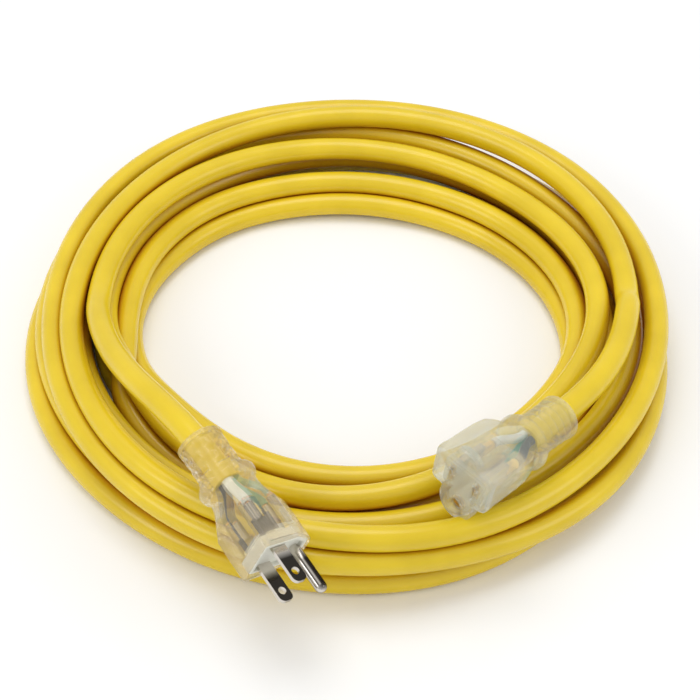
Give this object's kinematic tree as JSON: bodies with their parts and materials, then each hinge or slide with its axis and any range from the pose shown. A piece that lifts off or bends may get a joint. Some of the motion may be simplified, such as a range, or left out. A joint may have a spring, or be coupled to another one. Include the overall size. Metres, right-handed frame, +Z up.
{
  "type": "extension cord",
  "caption": "Coiled heavy-duty extension cord with a clear moulded three-prong plug and a clear single-outlet connector.",
  "frame": {"origin": "on the floor under the middle of the whole coiled cord, its plug and its connector", "axes": "+Z up; -Y is the side where the plug and the connector lie; +X is the connector's side"},
  "size_m": [0.2935, 0.3245, 0.0685],
  "materials": {
    "jacket": "smooth satin vinyl",
    "clear_vinyl": "clear, slightly frosted vinyl",
    "white_insert": "moulded white",
    "frosted_insert": "frosted translucent",
    "nickel": "bright nickel plating",
    "brass_contact": "bare stamped sheet",
    "copper": "bare stranded copper",
    "black_insulation": "smooth",
    "white_insulation": "smooth",
    "green_insulation": "smooth"
  },
  "bodies": {
    "root": {"connector_carrier": "frosted_insert", "connector_earth_contact": "brass_contact", "connector_earth_core": "copper", "connector_earth_wire": "green_insulation", "connector_hot_contact": "brass_contact", "connector_hot_core": "copper", "connector_hot_wire": "black_insulation", "connector_housing": "clear_vinyl", "connector_lead": "jacket", "connector_neutral_contact": "brass_contact", "connector_neutral_core": "copper", "connector_neutral_wire": "white_insulation", "cord_coil": "jacket", "plug_bridge": "white_insert", "plug_earth_core": "copper", "plug_earth_pin": "nickel", "plug_earth_wire": "green_insulation", "plug_hot_blade": "nickel", "plug_hot_core": "copper", "plug_hot_wire": "black_insulation", "plug_housing": "clear_vinyl", "plug_lead": "jacket", "plug_neutral_blade": "nickel", "plug_neutral_core": "copper", "plug_neutral_wire": "white_insulation"}
  },
  "joints": []
}
